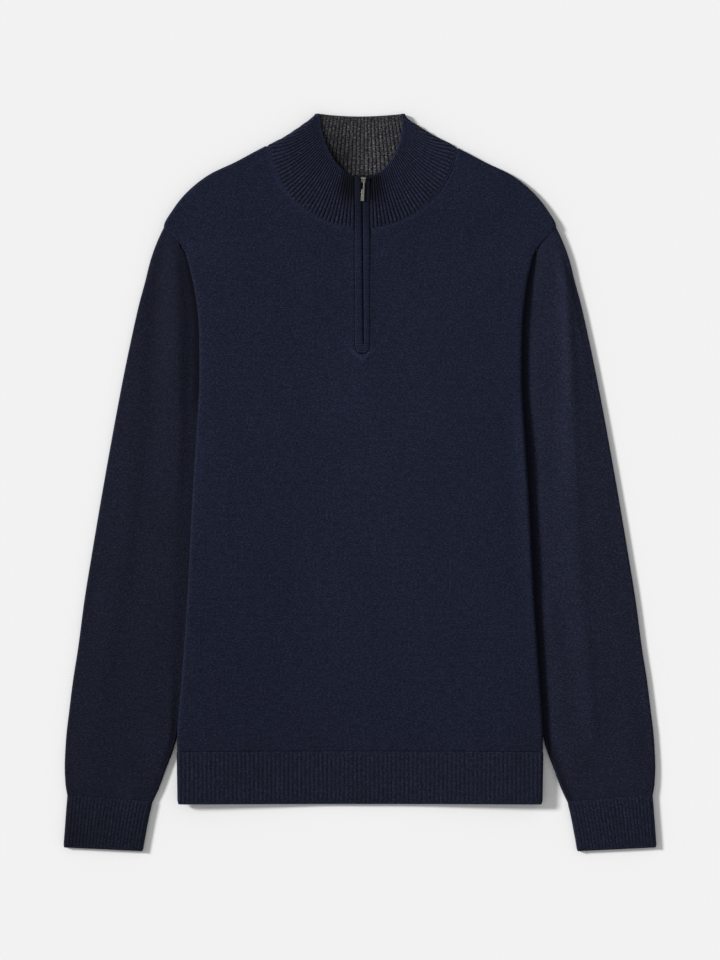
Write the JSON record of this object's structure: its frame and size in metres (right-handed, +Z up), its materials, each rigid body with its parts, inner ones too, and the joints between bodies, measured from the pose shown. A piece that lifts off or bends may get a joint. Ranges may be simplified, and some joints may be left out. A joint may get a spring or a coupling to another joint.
{
  "type": "quarter zip sweater",
  "caption": "Fine-knit quarter zip sweater laid flat with its sides folded under, with ribbed stand collar, cuffs and hem, a short front zip and a turning pull tab.",
  "frame": {"origin": "on the surface that the sweater lies on, under the middle of its outline", "axes": "+Y up the garment towards the collar, +X towards the wearer's left sleeve, +Z up from the surface through the front"},
  "size_m": [0.6188, 0.7688, 0.014],
  "materials": {
    "navy_knit": "heathered fine knit wool, matt",
    "charcoal_knit": "flecked ribbed wool, matt",
    "zip_tape": "woven tape, matt",
    "zip_teeth": "dark moulded nylon",
    "nickel": "brushed, warm nickel plating"
  },
  "bodies": {
    "garment": {"front_panel": "navy_knit", "back_panel": "navy_knit", "hem_front": "navy_knit", "hem_back": "navy_knit", "side_fold_left": "navy_knit", "side_fold_right": "navy_knit", "sleeve_left": "navy_knit", "sleeve_right": "navy_knit", "cuff_left": "navy_knit", "cuff_right": "navy_knit", "collar": "navy_knit", "collar_facing": "charcoal_knit", "zip_band_left": "navy_knit", "zip_band_right": "navy_knit", "zip_tape": "zip_tape", "zip_chain": "zip_teeth", "zip_slider": "nickel"},
    "zip_pull": {"zip_pull": "nickel"}
  },
  "joints": [
    {"name": "zip_pull_turn", "type": "hinge", "parent": "garment", "child": "zip_pull", "pos_m": [0.0033, 0.31722, 0.0102], "axis": [-1, 0, 0], "range_deg": [0, 165]}
  ]
}
